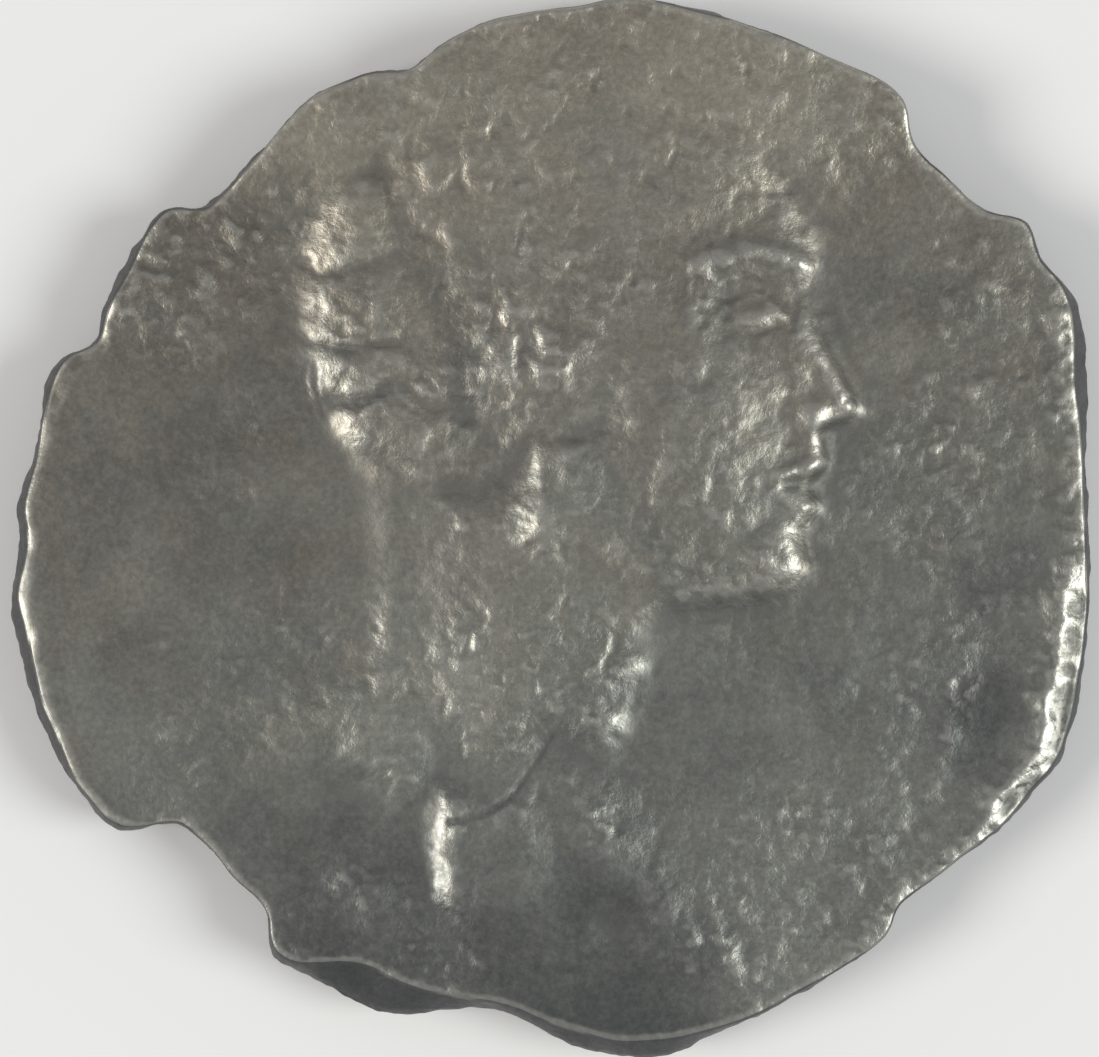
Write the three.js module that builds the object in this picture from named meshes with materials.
// A Roman silver denarius: a thin cast flan struck by hand, with a chipped and uneven outline,
// a draped bust to the right on its obverse and a standing figure on its reverse, both worn low.
//
// Units are millimetres. The coin lies on its reverse. +X runs to the right of the obverse, +Y to
// its top and +Z out of it. The origin is under the middle of the bounding box, on the plane that
// the coin rests on, which is the plane of the reverse's worn-flat high spots.

import * as THREE from "three";

// ---- Driving dimensions ----

const CORE = 1.15; // metal between the obverse field and the reverse field
const REVERSE_RELIEF = 0.26; // from the reverse field down to the plane that the coin rests on
const OBVERSE_FIELD = REVERSE_RELIEF + CORE; // height of the obverse field
const GIRDLE_TOP = OBVERSE_FIELD - 0.42; // the edge bulges out to the outline between these heights
const GIRDLE_BOTTOM = REVERSE_RELIEF + 0.3;

const SPAN_STEPS = 3; // edge vertices from one outline point to the next
const REVERSE_RINGS = 20; // rings of vertices on the plainer face

// ---- The outline, seen from the obverse, anticlockwise from the right ----

const FLAN_OUTLINE = [
  [9.0, -0.5], [8.95, 0.8], [9.0, 2.1], [8.92, 3.3], [8.65, 4.0], [8.2, 4.5],
  [7.95, 5.1], [7.25, 5.3], [6.5, 5.95], [6.05, 6.45], [5.9, 7.05], [5.55, 7.4],
  [4.65, 7.8], [3.5, 8.3], [2.3, 8.65], [1.3, 8.8], [0.0, 8.6], [-0.95, 8.45],
  [-1.8, 8.05], [-2.3, 7.65], [-3.0, 7.57], [-3.9, 7.2], [-4.5, 6.6], [-5.1, 5.97],
  [-5.75, 5.35], [-6.4, 5.3], [-7.05, 4.5], [-7.45, 3.65], [-7.6, 3.1], [-8.15, 2.8],
  [-8.43, 2.3], [-8.55, 1.45], [-8.87, 0.4], [-8.85, -0.3], [-9.0, -1.2], [-8.82, -2.2],
  [-8.45, -3.3], [-7.9, -4.35], [-7.2, -5.02], [-6.2, -4.95], [-5.75, -5.3], [-5.25, -5.85],
  [-4.75, -6.35], [-4.6, -7.15], [-3.65, -7.65], [-2.8, -8.1], [-0.98, -8.03], [0.15, -8.53],
  [1.0, -8.8], [1.9, -8.8], [2.85, -8.45], [3.65, -8.07], [4.65, -7.48], [5.6, -6.8],
  [5.85, -6.3], [6.6, -5.72], [7.5, -5.05], [8.0, -4.55], [8.55, -3.78], [8.95, -2.3],
];

// How far each face's rim lies inside the outline: a narrow bevel, deeper where the edge is sheared.
// Each deep stretch is centred at an angle from +X, in degrees, and fades over its spread.
const BEVEL = 0.1;
const OBVERSE_BEVELS = [
  { at: 16, spread: 9, depth: 0.22 },
  { at: 148, spread: 8, depth: 0.12 },
  { at: 190, spread: 22, depth: 0.18 },
  { at: 249, spread: 8, depth: 0.62 },
  { at: 277, spread: 13, depth: 0.28 },
];
const REVERSE_BEVELS = [
  { at: 40, spread: 30, depth: 0.22 },
  { at: 120, spread: 25, depth: 0.3 },
  { at: 225, spread: 18, depth: 0.25 },
  { at: 320, spread: 20, depth: 0.3 },
];

// ---- The bust on the obverse ----

const HEAD_HEIGHT = 9.0; // chin to crown
const FACE_THIRD = (HEAD_HEIGHT * 7) / 24; // hairline to brow, brow to nose base, nose base to chin
const CHIN = [4.25, -1.1]; // on the line of the face, at the level of the chin
const HEAD_TILT = THREE.MathUtils.degToRad(-3); // the head leans a little forward
const SKULL = { at: [0.25, 3.85], rx: 4.35, ry: 4.05 }; // the hair's outer ellipse

const RELIEF = {
  head: 0.33,
  neck: 0.22,
  hair: 0.05,
  crown: 0.19, // the field rises to this above the head, so the crown runs flush into it
  plait: 0.06, // the low band of hair that the plait's locks stand on
  lock: 0.09,
  cloak: 0.1,
  cloakBack: 0.22, // at the cloak's steep back edge
  shoulder: 0.12,
  rim: 0.05,
};

// An ideal profile in thirds of the face: forward of the face line, and above the chin.
const PROFILE = [
  [-0.24, 2.95], [-0.06, 2.5], [0.0, 2.1], [-0.05, 1.9], [0.13, 1.48], [0.29, 1.16],
  [0.1, 1.0], [0.11, 0.83], [0.03, 0.69], [0.08, 0.55], [-0.03, 0.37], [0.03, 0.16],
  [-0.12, 0.0], [-0.5, -0.1], [-0.92, -0.26],
];
const JAW = [[-0.12, 0.0], [-0.5, -0.1], [-1.0, 0.0], [-1.45, 0.35], [-1.72, 0.9]];
const HAIRLINE = [[-0.24, 2.95], [-0.5, 2.5], [-1.0, 2.15], [-1.3, 1.75], [-1.45, 1.25]];
const NECK_FRONT = [[1.45, -2.7], [1.15, -3.6], [1.05, -4.3]];
const NECK_BACK = [
  [-2.15, -4.3], [-2.6, -3.1], [-2.92, -1.9], [-3.0, -0.7], [-3.05, 0.3], [-3.45, 1.2],
];
const CLOAK = [ // it runs off the flan's lower edge
  [-2.2, -4.0], [-2.05, -4.6], [-1.87, -5.4], [-1.66, -6.2], [-1.35, -7.2], [-1.1, -8.4],
  [-0.4, -9.4], [2.6, -9.6], [3.3, -8.4], [3.05, -7.35], [2.72, -6.6], [2.15, -5.75],
  [1.5, -5.0], [0.9, -4.1], [0.3, -3.65], [-1.0, -3.9],
];
const SHOULDER = [
  [-2.6, -2.0], [-3.1, -2.3], [-3.85, -2.75], [-4.9, -3.5], [-4.7, -4.0], [-3.4, -4.1],
  [-2.2, -4.5], [-1.8, -3.4],
];
const COLLAR = { line: [[-1.6, -4.85], [-0.8, -4.8], [-0.15, -4.3], [0.35, -3.7]], width: 0.6 };

// The plait down the back of the head: a band of hair, its four locks, the grooves between them
// and the hollow that parts it from the crown.
const PLAIT = [
  [-4.0, 5.7], [-4.28, 4.8], [-4.3, 3.8], [-4.2, 2.65], [-3.78, 1.75], [-3.5, 1.33],
  [-2.5, 1.05], [-1.35, 0.82], [-1.2, 1.13], [-1.58, 1.8], [-1.85, 2.3], [-2.08, 2.97],
  [-2.33, 3.8], [-2.58, 4.63], [-2.92, 5.38], [-3.35, 5.97],
];
const LOCKS = [
  { at: [-3.4, 5.03], rx: 0.95, ry: 0.82, tilt: 25 },
  { at: [-3.25, 3.63], rx: 1.05, ry: 0.68, tilt: 8 },
  { at: [-3.15, 2.52], rx: 0.9, ry: 0.46, tilt: 10 },
  { at: [-2.62, 1.6], rx: 1.2, ry: 0.52, tilt: -14 },
];
const PLAIT_GROOVES = [
  { line: [[-4.2, 4.4], [-3.67, 4.17], [-3.08, 4.27], [-2.5, 4.5]], width: 0.5 },
  { line: [[-4.2, 3.1], [-3.5, 2.98], [-2.75, 3.05], [-2.2, 2.93]], width: 0.5 },
  { line: [[-3.95, 1.9], [-3.17, 2.1], [-2.4, 2.35], [-1.9, 2.12], [-1.2, 1.9]], width: 0.5 },
];
const PARTING = {
  line: [[-2.83, 6.05], [-2.53, 5.22], [-2.0, 4.22], [-1.58, 3.22], [-1.3, 2.1]],
  width: 0.95,
};

const CROWN_LOCKS = [
  { line: [[-1.92, 7.4], [-2.0, 6.4], [-1.88, 5.7]], width: 0.8 },
  { line: [[-1.1, 7.5], [-0.98, 7.0], [-1.25, 6.4], [-1.05, 5.8]], width: 0.7 },
  { line: [[-0.35, 7.4], [-0.45, 6.6], [-0.2, 6.0], [0.1, 5.7]], width: 0.7 },
];
const CURL = { at: [-2.78, 6.47], rx: 0.5, ry: 0.7, tilt: -15 };
const EAR = { at: [-0.3, 2.8], rx: 0.8, ry: 1.2, tilt: 6 };
const EAR_HOLLOW = { at: [-0.42, 2.93], rx: 0.4, ry: 0.7, tilt: 4 };
const NAPE_HOLLOW = { at: [-1.1, 1.15], rx: 1.0, ry: 1.1, tilt: 0 };

// ---- The figure on the reverse, seen from that side ----

const FIGURE = [
  { at: [0.1, 5.2], rx: 0.95, ry: 1.15, tilt: 0 }, // head
  { at: [0.0, 2.3], rx: 1.75, ry: 2.6, tilt: 0 }, // chest
  { at: [0.15, -1.8], rx: 2.2, ry: 4.3, tilt: 4 }, // skirt
  { at: [-0.75, -4.5], rx: 1.0, ry: 1.5, tilt: 0 }, // hem
  { at: [0.95, -4.5], rx: 1.0, ry: 1.5, tilt: 0 },
];
const FIGURE_BARS = [
  { line: [[-1.1, 3.4], [-3.5, 2.2]], width: 1.5 }, // arm held out
  { line: [[1.1, 3.5], [3.0, 2.2]], width: 1.5 }, // arm on the sceptre
  { line: [[3.1, 5.4], [2.9, -5.4]], width: 1.0 }, // sceptre
  { line: [[-3.9, -6.0], [4.1, -6.0]], width: 1.0 }, // ground line
];
const DISH = { at: [-3.9, 2.1], rx: 1.0, ry: 0.65, tilt: 10 };
const FIGURE_FOLDS = [
  { line: [[-0.35, 0.4], [-0.95, -4.9]], width: 0.7 },
  { line: [[0.35, 0.9], [0.15, -4.6]], width: 0.7 },
  { line: [[0.95, 0.4], [1.15, -4.9]], width: 0.7 },
  { line: [[-1.0, 1.1], [0.95, 1.0]], width: 0.6 }, // girdle of the dress
  { line: [[-0.55, 4.25], [0.7, 4.25]], width: 0.6 }, // neck
];

// ---- Shape tools ----

const smooth = THREE.MathUtils.smoothstep; // (value, low, high) to 0..1
const mix = THREE.MathUtils.lerp;

// A smooth closed curve through the points, as [x, y] samples.
function closedCurve(points, samples) {
  const corners = points.map(([x, y]) => new THREE.Vector3(x, y, 0));
  const curve = new THREE.CatmullRomCurve3(corners, true, "centripetal");
  return curve.getPoints(samples).slice(0, -1).map((p) => [p.x, p.y]);
}

// 0 below low, 1 above high, and a straight slope between them.
function slope(value, low, high) {
  return THREE.MathUtils.clamp((value - low) / (high - low), 0, 1);
}

// The distance from (x, y) to a straight line between two points.
function offLine(x, y, from, to) {
  const [dx, dy] = [to[0] - from[0], to[1] - from[1]];
  const [px, py] = [x - from[0], y - from[1]];
  const t = slope(px * dx + py * dy, 0, dx * dx + dy * dy);
  return Math.hypot(px - t * dx, py - t * dy);
}

// The distance from (x, y) to a closed polygon: positive inside it, negative outside.
function depthInside(polygon, x, y) {
  let nearest = Infinity;
  let inside = false;
  polygon.forEach((from, i) => {
    const to = polygon[(i + 1) % polygon.length];
    nearest = Math.min(nearest, offLine(x, y, from, to));
    const crosses = from[1] > y !== to[1] > y;
    const crossing = from[0] + ((y - from[1]) / (to[1] - from[1])) * (to[0] - from[0]);
    if (crosses && x < crossing) inside = !inside;
  });
  return inside ? nearest : -nearest;
}

// A rounded form: 1 at the middle of a tilted ellipse, 0 at its edge and outside it.
function dome(x, y, { at, rx, ry, tilt }) {
  const a = THREE.MathUtils.degToRad(tilt);
  const [dx, dy] = [x - at[0], y - at[1]];
  const u = (dx * Math.cos(a) + dy * Math.sin(a)) / rx;
  const v = (dy * Math.cos(a) - dx * Math.sin(a)) / ry;
  return Math.max(0, 1 - u * u - v * v);
}

// A soft line through some points: 1 along its middle, 0 at half its width.
function stroke(x, y, { line, width }) {
  const offs = line.slice(1).map((to, i) => offLine(x, y, line[i], to));
  return 1 - smooth(Math.min(...offs), 0, width / 2);
}

// The strongest of several forms at (x, y), each drawn by the same function.
function strongest(x, y, draw, forms) {
  return Math.max(...forms.map((form) => draw(x, y, form)));
}

// ---- Obverse ----

// A point of the face, given in thirds: forward of the face line, and above the chin.
function facePoint([forward, up]) {
  const [x, y] = [forward * FACE_THIRD, up * FACE_THIRD];
  const [c, s] = [Math.cos(HEAD_TILT), Math.sin(HEAD_TILT)];
  return [CHIN[0] + x * c - y * s, CHIN[1] + x * s + y * c];
}

// The skull's ellipse, from the nape round the crown to the hairline.
function skullPoints() {
  const points = [];
  for (let degrees = 206; degrees > 52; degrees -= 15) {
    const a = THREE.MathUtils.degToRad(degrees);
    points.push([SKULL.at[0] + SKULL.rx * Math.cos(a), SKULL.at[1] + SKULL.ry * Math.sin(a)]);
  }
  return points;
}

const bust = closedCurve(
  [...PROFILE.map(facePoint), ...NECK_FRONT, ...NECK_BACK, ...skullPoints()], 300);
const head = closedCurve([
  ...[...PROFILE.slice(0, -3), ...JAW].map(facePoint), [-0.9, 0.9], [-3.3, 0.9], ...skullPoints(),
], 200);
const hair = closedCurve([
  ...HAIRLINE.map(facePoint), [-0.9, 1.9], [-1.6, 1.0], [-3.3, 0.9], ...skullPoints(),
], 160);
const plait = closedCurve(PLAIT, 100);
const cloak = closedCurve(CLOAK, 100);
const shoulder = closedCurve(SHOULDER, 50);

// The face's soft forms, in thirds of the face: cheek, brow, eye, nose wing, lips and jaw.
const face = {
  cheek: { at: facePoint([-0.62, 1.02]), rx: 1.7, ry: 1.9, tilt: 20 },
  jaw: { at: facePoint([-0.75, 0.35]), rx: 2.2, ry: 1.1, tilt: 20 },
  socket: { at: facePoint([-0.4, 1.76]), rx: 0.95, ry: 0.6, tilt: 5 },
  eye: { at: facePoint([-0.46, 1.72]), rx: 0.62, ry: 0.36, tilt: 0 },
  brow: { line: [[-0.12, 2.02], [-0.78, 2.04]].map(facePoint), width: 0.7 },
  wing: { at: facePoint([0.02, 1.13]), rx: 0.42, ry: 0.36, tilt: 20 },
  mouth: { line: [[0.06, 0.69], [-0.27, 0.66]].map(facePoint), width: 0.45 },
};

function faceHeight(x, y) {
  let z = 0.09 * dome(x, y, face.cheek) + 0.05 * dome(x, y, face.jaw);
  z += 0.05 * stroke(x, y, face.brow) - 0.07 * dome(x, y, face.socket);
  z += 0.08 * dome(x, y, face.eye) + 0.05 * dome(x, y, face.wing);
  return z - 0.06 * stroke(x, y, face.mouth);
}

function hairHeight(x, y) {
  const waves = 0.02 * Math.sin(4.2 * x + 1.5 * Math.sin(1.6 * y));
  const locks = 0.05 * strongest(x, y, stroke, CROWN_LOCKS) + 0.06 * dome(x, y, CURL);
  return RELIEF.hair + waves + locks;
}

// Worn locks on a low band of hair, lower at their outer ends and fading out towards the head.
function plaitHeight(x, y) {
  const worn = (1 - 0.6 * smooth(-x, 3.2, 4.0)) * (1 - 0.8 * smooth(x, -2.9, -1.4));
  const locks = RELIEF.lock * worn * smooth(strongest(x, y, dome, LOCKS), 0, 0.65);
  const grooves = 0.07 * strongest(x, y, stroke, PLAIT_GROOVES);
  return RELIEF.plait * smooth(depthInside(plait, x, y), -0.5, 0.6) + locks - grooves;
}

// The lock in front of the ear: a steep back edge, and a long easy fall towards the cheek.
function whiskerHeight(x, y) {
  const back = x + 0.36 - 0.2 * smooth(y, 0.4, 1.2);
  const reach = smooth(y, -0.6, -0.1) * (1 - smooth(y, 1.1, 1.6));
  return 0.14 * smooth(back, -0.12, 0.12) * (1 - smooth(back, 0.15, 1.5)) * reach;
}

function bustHeight(x, y) {
  const edge = depthInside(bust, x, y);
  const inHair = smooth(depthInside(hair, x, y), 0, 0.4);
  const inHead = smooth(depthInside(head, x, y), -0.2, 0.25);
  const crown = smooth(y, 3, 6);
  const nape = smooth(-x, 1, 2.5) * smooth(-y, -2, 0);
  const behind = smooth(-x, -0.5, 3.4) * smooth(y, 0.2, 1.4) * (1 - crown);
  const worn = 0.12 * crown + 0.1 * nape + 0.17 * behind;
  const top = mix(RELIEF.neck, RELIEF.head, inHead) - worn;
  let z = top * (0.65 * smooth(edge, -0.1, 0.42) + 0.35 * smooth(edge, 0, 2.6));
  z += faceHeight(x, y) * inHead * (1 - inHair) * smooth(edge, 0, 0.4);
  z += hairHeight(x, y) * inHair * smooth(edge, 0, 0.5);
  z = Math.max(z, RELIEF.crown * smooth(y, 4.9, 7.0));
  z += whiskerHeight(x, y) + 0.05 * dome(x, y, EAR) - 0.1 * dome(x, y, EAR_HOLLOW);
  z -= 0.07 * stroke(x, y, PARTING) + 0.1 * dome(x, y, NAPE_HOLLOW);
  return Math.max(0, z + plaitHeight(x, y) * smooth(z, -0.1, 0.1));
}

// The cloak: a steep back edge, worn away at the front, faint folds and a rolled collar. The
// shoulder is a low plateau behind the neck.
function cloakHeight(x, y) {
  const edge = depthInside(cloak, x, y);
  const back = 1 - smooth(x, -1.4, 2.6);
  const step = mix(smooth(edge, -0.25, 0.5), slope(edge, -0.05, 0.4), back);
  const high = back * smooth(-y, 4.1, 4.9) * smooth(y, -6.9, -5.9);
  const folds = 0.03 * Math.cos(13 * Math.atan2(x + 0.6, -2.2 - y)) * smooth(edge, 0, 0.6);
  const top = (mix(RELIEF.cloak, RELIEF.cloakBack, high) + folds) * step * smooth(y, -8.0, -5.6);
  const plateau = smooth(depthInside(shoulder, x, y), -0.3, 0.5) * smooth(x, -5.2, -3.2);
  return Math.max(top, RELIEF.shoulder * plateau) + 0.06 * stroke(x, y, COLLAR);
}

// The rim is struck up only on the right, where a slope runs out from its crest to the edge.
function rimHeight(x, y, rimDepth) {
  const angle = THREE.MathUtils.radToDeg(Math.atan2(y, x));
  const struck = smooth(angle, -62, -36) * (1 - smooth(angle, 23, 30));
  const low = smooth(-angle, 3, 14) * (1 - smooth(-angle, 31, 44));
  const crest = 0.14 + 0.36 * low;
  const inner = RELIEF.rim * (1 - smooth(rimDepth - crest, 0, 0.55));
  const outer = (0.03 + 0.2 * low) * slope(crest - rimDepth, 0, crest);
  return (inner - outer) * struck;
}

// ---- Reverse ----

// Worn: every high spot is cut off at the plane that the coin rests on.
function reverseRelief(x, y, rimDepth) {
  const body = 2.6 * strongest(x, y, dome, FIGURE);
  const bars = 1.2 * strongest(x, y, stroke, FIGURE_BARS);
  const folds = strongest(x, y, stroke, FIGURE_FOLDS);
  const rim = 1.25 * (1 - smooth(Math.abs(rimDepth - 0.55), 0.1, 0.6));
  const raised = Math.max(body, bars, 1.6 * dome(x, y, DISH), rim);
  return REVERSE_RELIEF * (Math.min(1, raised) - 0.45 * Math.min(1, raised) * folds);
}

// ---- The flan ----

function bevelAt(bevels, angle) {
  return bevels.reduce((sum, { at, spread, depth }) => {
    const turn = THREE.MathUtils.radToDeg(angle) - at + 180;
    const off = THREE.MathUtils.euclideanModulo(turn, 360) - 180;
    return sum + depth * Math.exp(-((off / spread) ** 2));
  }, BEVEL);
}

// The outline moved in along its radii by the bevels' depth.
function rimLoop(bevels) {
  return outline.map(([x, y]) => {
    const scale = 1 - bevelAt(bevels, Math.atan2(y, x)) / Math.hypot(x, y);
    return [x * scale, y * scale];
  });
}

// Ring number k of n inside a loop: the loop shrunk to its middle, with six more points each ring.
function innerRing(loop, k, n) {
  const points = [];
  for (let i = 0; i < 6 * k; i++) {
    const place = (i * loop.length) / (6 * k);
    const [from, to] = [loop[Math.floor(place)], loop[(Math.floor(place) + 1) % loop.length]];
    points.push([0, 1].map((axis) => (mix(from[axis], to[axis], place % 1) * k) / n));
  }
  return points;
}

const outline = closedCurve(FLAN_OUTLINE, FLAN_OUTLINE.length * SPAN_STEPS);
const obverseRim = rimLoop(OBVERSE_BEVELS);
const reverseRim = rimLoop(REVERSE_BEVELS);

function obverseZ(x, y) {
  const relief = Math.max(bustHeight(x, y), cloakHeight(x, y));
  return OBVERSE_FIELD + relief + rimHeight(x, y, depthInside(obverseRim, x, y));
}

function reverseZ(x, y) {
  return REVERSE_RELIEF - reverseRelief(-x, y, depthInside(reverseRim, x, y));
}

// A closed surface of rings round the Z axis, each ring stitched to the one before.
class Shell {
  vertices = [];
  triangles = [];
  last = null;

  // Adds a ring. Each entry holds its vertex and how far round from the ring's start it lies.
  ring(loop, heightAt) {
    const start = Math.atan2(loop[0][1], loop[0][0]);
    const ring = loop.map(([x, y], i) => {
      this.vertices.push([x, y, heightAt(x, y)]);
      const turn = (Math.atan2(y, x) - start) / (2 * Math.PI);
      return { vertex: this.vertices.length - 1, turn: i ? THREE.MathUtils.euclideanModulo(turn, 1) : 0 };
    });
    ring.push({ vertex: ring[0].vertex, turn: 1 });
    if (this.last) this.stitch(this.last, ring);
    this.last = ring;
  }

  // Joins two rings that start side by side. A ring of one point closes the surface.
  stitch(inner, outer) {
    const middle = (ring, i) => (i + 1 < ring.length ? (ring[i].turn + ring[i + 1].turn) / 2 : 2);
    let i = inner.length > 2 ? 0 : 1;
    let o = outer.length > 2 ? 0 : 1;
    while (i + 1 < inner.length || o + 1 < outer.length) {
      const [a, b] = [inner[i].vertex, outer[o].vertex];
      const next = middle(inner, i) < middle(outer, o) ? inner[++i] : outer[++o];
      this.triangles.push([a, b, next.vertex]);
    }
  }

  // Turns the shared edge of two triangles where the other diagonal lies closer to the surface.
  fitDiagonals(heightAt, first) {
    const sharing = new Map();
    const triangles = this.triangles;
    triangles.forEach((triangle, t) => {
      triangle.forEach((a, i) => sharing.set(`${a},${triangle[(i + 1) % 3]}`, t));
    });
    const point = (i) => this.vertices[i];
    const area = (a, b, c) => {
      const [[ax, ay], [bx, by], [cx, cy]] = [a, b, c].map(point);
      return Math.abs((bx - ax) * (cy - ay) - (cx - ax) * (by - ay));
    };
    const error = (a, b) => {
      const [[ax, ay, az], [bx, by, bz]] = [a, b].map(point);
      return Math.abs(heightAt((ax + bx) / 2, (ay + by) / 2) - (az + bz) / 2);
    };
    for (let t = first; t < triangles.length; t++) {
      for (let i = 0; i < 3; i++) {
        const [a, b, c] = [0, 1, 2].map((k) => triangles[t][(i + k) % 3]);
        const other = sharing.get(`${b},${a}`);
        if (other === undefined || other < first) continue;
        const d = triangles[other].find((v) => v !== a && v !== b);
        const whole = area(a, b, c) + area(a, b, d);
        const parts = [area(c, d, a), area(c, d, b)];
        const convex = Math.abs(parts[0] + parts[1] - whole) < 1e-6 * whole;
        if (!convex || Math.min(...parts) < 0.25 * whole || error(c, d) > error(a, b) - 1e-3) continue;
        triangles[t] = [c, a, d];
        triangles[other] = [d, b, c];
        [[c, a, t], [a, d, t], [d, c, t], [d, b, other], [b, c, other], [c, d, other]]
          .forEach(([from, to, owner]) => sharing.set(`${from},${to}`, owner));
        sharing.delete(`${a},${b}`);
        sharing.delete(`${b},${a}`);
        break;
      }
    }
  }

  geometry() {
    return new THREE.BufferGeometry()
      .setAttribute("position", new THREE.Float32BufferAttribute(this.vertices.flat(), 3))
      .setIndex(this.triangles.flat());
  }
}

// Slides the points near the bust's edge onto it, so that the relief has a clean step.
function snapToBust([x, y], reach) {
  const depth = depthInside(bust, x, y);
  if (Math.abs(depth) > reach) return [x, y];
  const step = 0.02;
  const slope = [depthInside(bust, x + step, y) - depth, depthInside(bust, x, y + step) - depth];
  const steepness = Math.hypot(...slope) || 1;
  return [x - (depth * slope[0]) / steepness, y - (depth * slope[1]) / steepness];
}

function coinGeometry() {
  const shell = new Shell();
  const rings = outline.length / 6; // so that the last ring has as many points as the outline
  shell.ring([[0, 0]], obverseZ);
  for (let k = 1; k < rings; k++) {
    const loop = innerRing(obverseRim, k, rings);
    shell.ring(loop.map((point) => snapToBust(point, 0.11)), obverseZ);
  }
  shell.ring(obverseRim, obverseZ);
  for (let pass = 0; pass < 3; pass++) shell.fitDiagonals(obverseZ, 0);
  shell.ring(outline, () => GIRDLE_TOP);
  shell.ring(outline, () => GIRDLE_BOTTOM);
  shell.ring(reverseRim, reverseZ);
  const wallEnd = shell.triangles.length;
  for (let k = REVERSE_RINGS - 1; k > 0; k--) {
    shell.ring(innerRing(reverseRim, k, REVERSE_RINGS), reverseZ);
  }
  shell.ring([[0, 0]], reverseZ);
  for (let pass = 0; pass < 3; pass++) shell.fitDiagonals(reverseZ, wallEnd);
  return shell.geometry();
}

// Moves the geometry sideways so that the Z axis runs through the middle of its bounding box.
function centred(geometry) {
  geometry.computeBoundingBox();
  const middle = geometry.boundingBox.getCenter(new THREE.Vector3());
  return geometry.translate(-middle.x, -middle.y, 0);
}

// ---- The part ----

const silver = new THREE.MeshStandardMaterial({ color: "#8c8b83", roughness: 0.45, metalness: 0.9 });
const coin = new THREE.Mesh(centred(coinGeometry()), silver);
coin.name = "coin";

const part = new THREE.Group();
part.add(coin);

export default part;
